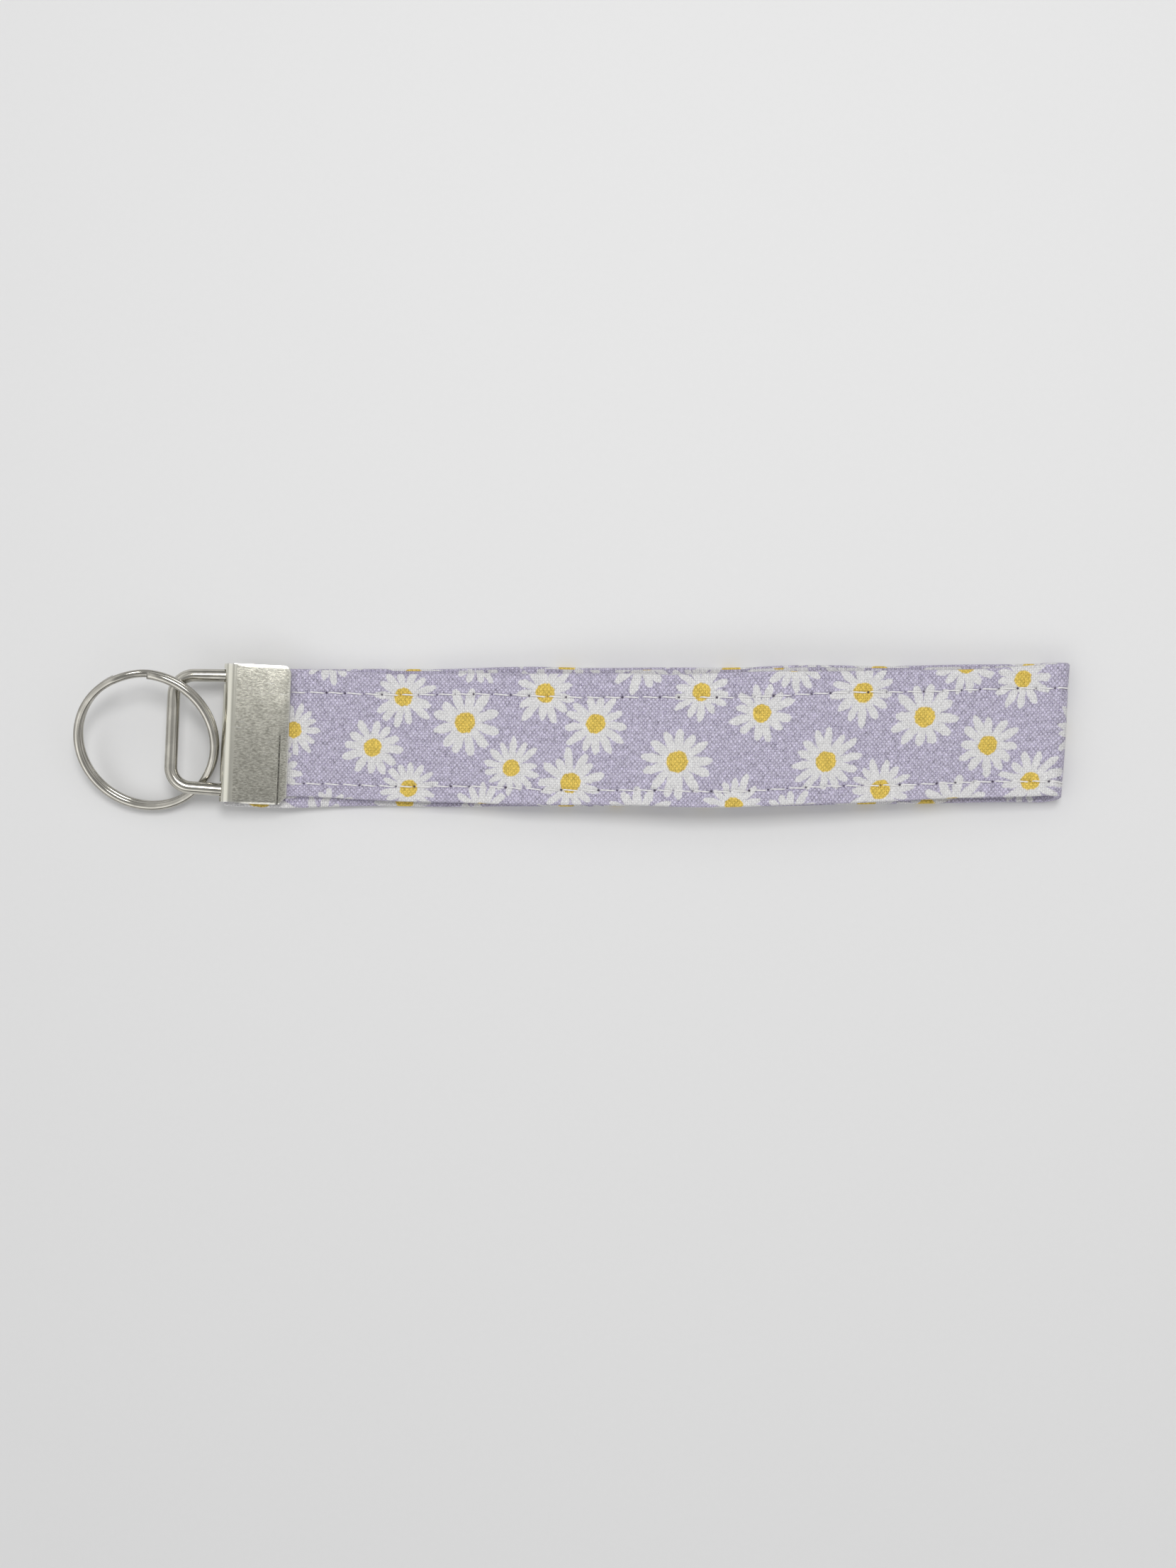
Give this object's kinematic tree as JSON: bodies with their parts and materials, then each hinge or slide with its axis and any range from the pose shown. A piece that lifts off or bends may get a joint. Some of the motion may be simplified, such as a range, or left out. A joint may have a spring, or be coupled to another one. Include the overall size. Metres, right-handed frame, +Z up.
{
  "type": "wristlet keychain",
  "caption": "Cotton wristlet keychain: a folded, topstitched strap loop pinched in a nickel clamp, with a hinged wire bail that carries a split ring for keys.",
  "frame": {"origin": "on the table, at the middle of the flat underside of the strap's lower layer", "axes": "+X from the split ring to the fold of the strap, +Y across the strap to its far edge, +Z up from the table"},
  "size_m": [0.1863, 0.0346, 0.0108],
  "materials": {
    "ring_nickel": "polished nickel-plated steel wire",
    "wire_nickel": "bright nickel-plated steel wire",
    "clamp_nickel": "satin nickel-plated sheet steel, lightly scratched",
    "printed_cotton": "lavender plain-weave cotton with a white daisy print",
    "interfacing": "white non-woven interfacing",
    "white_thread": "white spun sewing thread"
  },
  "bodies": {
    "strap_and_clamp": {"clamp": "clamp_nickel", "strap_fabric": "printed_cotton", "strap_interfacing": "interfacing", "needle_thread_far": "white_thread", "needle_thread_near": "white_thread", "bobbin_thread_far": "white_thread", "bobbin_thread_near": "white_thread"},
    "bail": {"bail": "wire_nickel"},
    "split_ring": {"split_ring": "ring_nickel"}
  },
  "joints": [
    {"name": "bail_swing", "type": "hinge", "parent": "strap_and_clamp", "child": "bail", "pos_m": [-0.09393, 0, 0.00457], "axis": [0, 1, 0], "range_deg": [-25, 3]},
    {"name": "ring_flip", "type": "hinge", "parent": "bail", "child": "split_ring", "pos_m": [-0.11003, -0.0021, 0.00543], "axis": [1, 0, 0], "range_deg": [0, 142]}
  ]
}
